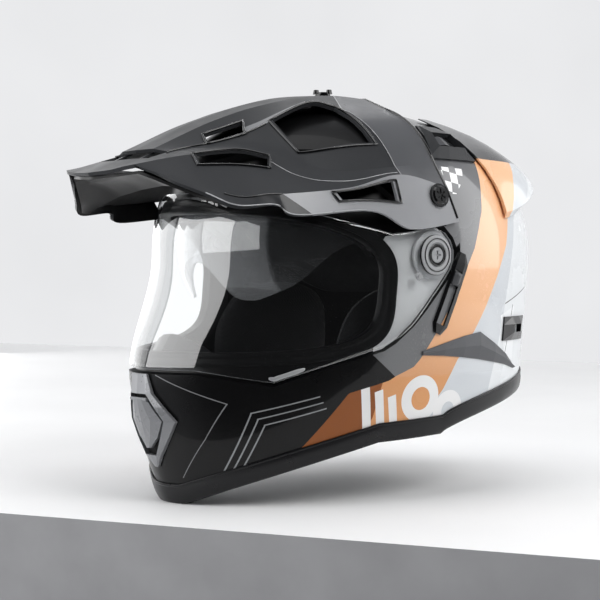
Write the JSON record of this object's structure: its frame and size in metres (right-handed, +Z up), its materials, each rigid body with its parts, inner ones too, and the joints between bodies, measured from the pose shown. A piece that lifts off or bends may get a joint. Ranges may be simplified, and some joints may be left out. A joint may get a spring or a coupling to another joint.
{
  "type": "full face adventure helmet",
  "caption": "Full face adventure helmet with a vented sun peak, a clear flip-up visor, an inner smoked sun visor, tipping chin vent, rear spoiler and padded lining.",
  "frame": {"origin": "bottom of the bounding box under its centre; z = 0 is the flat underside of the chin trim", "axes": "+Z up through the crown, the face looks along -Y, +X is the wearer's left side"},
  "size_m": [0.2508, 0.385, 0.3025],
  "materials": {
    "shell_paint": "gloss, with an orange band and pale rear panels",
    "peak_plastic": "satin",
    "black_plastic": "satin",
    "grey_plastic": "satin",
    "silver_plastic": "satin",
    "trim_rubber": "satin",
    "liner_foam": "matt",
    "lining_fabric": "matt",
    "webbing": "woven",
    "clear_visor": "gloss",
    "smoke_visor": "gloss",
    "bright_metal": "brushed"
  },
  "bodies": {
    "helmet": {"outer_shell": "shell_paint", "impact_liner": "liner_foam", "chin_liner": "liner_foam", "comfort_liner": "lining_fabric", "cheek_pad_left": "lining_fabric", "cheek_pad_right": "lining_fabric", "neck_roll": "lining_fabric", "base_trim": "trim_rubber", "eyeport_gasket": "trim_rubber", "base_plate_left": "black_plastic", "base_plate_right": "black_plastic", "pivot_cover": "grey_plastic", "pivot_screw": "black_plastic", "sun_hinge": "black_plastic", "slider_housing": "grey_plastic", "peak": "peak_plastic", "peak_front_panel": "peak_plastic", "peak_bars": "grey_plastic", "peak_side_screw": "black_plastic", "peak_side_mount": "black_plastic", "peak_top_screw": "black_plastic", "peak_top_mount": "black_plastic", "chin_vent_frame": "silver_plastic", "chin_vent_mesh": "black_plastic", "crown_vent_left": "peak_plastic", "crown_vent_right": "peak_plastic", "rear_spoiler": "peak_plastic", "rear_vent_left": "black_plastic", "rear_vent_right": "black_plastic", "side_fin_left": "peak_plastic", "side_fin_right": "peak_plastic", "breath_guard": "trim_rubber", "chin_curtain": "lining_fabric", "chin_strap_left": "webbing", "chin_strap_right": "webbing", "strap_rings": "bright_metal", "strap_anchor": "bright_metal"},
    "visor_group": {"visor": "clear_visor", "visor_stud": "bright_metal"},
    "sun_visor_group": {"sun_visor": "smoke_visor"},
    "sun_slider": {"slider_knob": "grey_plastic"},
    "chin_flap": {"chin_vent_flap": "silver_plastic"},
    "left_vent_slide": {"crown_slider_left": "grey_plastic"},
    "right_vent_slide": {"crown_slider_right": "grey_plastic"}
  },
  "joints": [
    {"name": "visor_swing", "type": "hinge", "parent": "helmet", "child": "visor_group", "pos_m": [0, 0.0175, 0.176], "axis": [-1, 0, 0], "range_deg": [0, 24]},
    {"name": "sun_visor_swing", "type": "hinge", "parent": "helmet", "child": "sun_visor_group", "pos_m": [0, -0.0185, 0.186], "axis": [-1, 0, 0], "range_deg": [0, 44]},
    {"name": "sun_slide", "type": "slide", "parent": "helmet", "child": "sun_slider", "axis": [-0.0156, -0.4148, -0.9098], "range_m": [0, 0.024]},
    {"name": "chin_flap_tip", "type": "hinge", "parent": "helmet", "child": "chin_flap", "pos_m": [0, -0.15176, 0.075], "axis": [-1, 0, 0], "range_deg": [0, 14]},
    {"name": "left_vent_slide_move", "type": "slide", "parent": "helmet", "child": "left_vent_slide", "axis": [-0.1834, 0.983, 0], "range_m": [0, 0.007]},
    {"name": "right_vent_slide_move", "type": "slide", "parent": "helmet", "child": "right_vent_slide", "axis": [0.1834, 0.983, 0], "range_m": [0, 0.007]}
  ],
  "couplings": [
    {"joint": "sun_slide", "follows": "sun_visor_swing", "m_per_rad": 0.03125}
  ]
}
